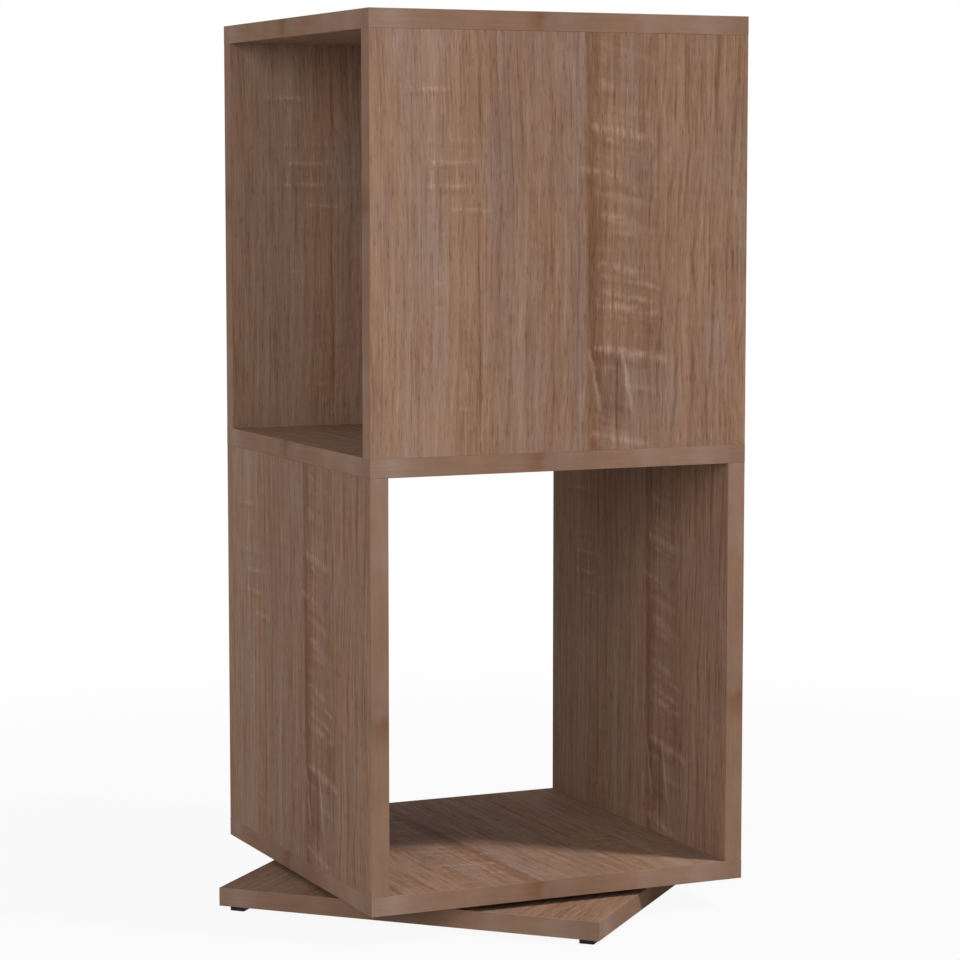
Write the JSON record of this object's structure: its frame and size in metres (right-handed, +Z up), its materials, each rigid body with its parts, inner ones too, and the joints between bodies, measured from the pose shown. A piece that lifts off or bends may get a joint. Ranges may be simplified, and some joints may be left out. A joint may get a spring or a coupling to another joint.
{
  "type": "rotating display cabinet",
  "caption": "Free-standing display cabinet of square oak-decor boards: open compartments stacked crosswise, turning on a square base board by a flat ball-bearing swivel.",
  "frame": {"origin": "on the floor, under the turning axis", "axes": "+Z up along the turning axis, -Y towards the closed upper face that the picture shows, +X to its right"},
  "size_m": [0.488, 0.488, 0.7645],
  "materials": {
    "oak_board": "melamine-faced particle board, brown sawn-oak decor, satin",
    "oak_edging": "glued edging strip in the same decor, running along the edge",
    "swivel_steel": "pressed steel sheet, zinc plated",
    "screw_steel": "zinc plated",
    "ball_steel": "polished",
    "cage_plastic": "natural nylon",
    "beech_dowel": "raw beech",
    "cap_plastic": "plastic cap in the boards' brown",
    "foot_plastic": "black plastic"
  },
  "bodies": {
    "base": {"base_panel": "oak_board", "base_panel_edging": "oak_edging", "foot_front": "foot_plastic", "foot_left": "foot_plastic", "foot_right": "foot_plastic", "foot_back": "foot_plastic", "foot_screws": "screw_steel", "swivel_lower_plate": "swivel_steel", "swivel_lower_screws": "screw_steel"},
    "ball_cage": {"swivel_ball_cage": "cage_plastic", "swivel_balls": "ball_steel"},
    "cabinet": {"top_panel": "oak_board", "upper_front_panel": "oak_board", "upper_back_panel": "oak_board", "middle_shelf": "oak_board", "lower_left_panel": "oak_board", "lower_right_panel": "oak_board", "bottom_panel": "oak_board", "top_panel_edging": "oak_edging", "upper_front_panel_edging": "oak_edging", "upper_back_panel_edging": "oak_edging", "middle_shelf_edging": "oak_edging", "lower_left_panel_edging": "oak_edging", "lower_right_panel_edging": "oak_edging", "bottom_panel_edging": "oak_edging", "top_joint_screws": "screw_steel", "shelf_upper_joint_screws": "screw_steel", "shelf_lower_joint_screws": "screw_steel", "bottom_joint_screws": "screw_steel", "top_joint_dowels": "beech_dowel", "shelf_upper_joint_dowels": "beech_dowel", "shelf_lower_joint_dowels": "beech_dowel", "bottom_joint_dowels": "beech_dowel", "top_screw_caps": "cap_plastic", "shelf_upper_screw_caps": "cap_plastic", "shelf_lower_screw_caps": "cap_plastic", "swivel_upper_plate": "swivel_steel", "swivel_upper_screws": "screw_steel"}
  },
  "joints": [
    {"name": "cabinet_turn", "type": "hinge", "parent": "base", "child": "cabinet", "pos_m": [0, 0, 0.02385], "axis": [0, 0, 1], "continuous": true},
    {"name": "cage_turn", "type": "hinge", "parent": "base", "child": "ball_cage", "pos_m": [0, 0, 0.02385], "axis": [0, 0, 1], "continuous": true}
  ],
  "couplings": [
    {"joint": "cage_turn", "follows": "cabinet_turn", "ratio": 0.5}
  ]
}
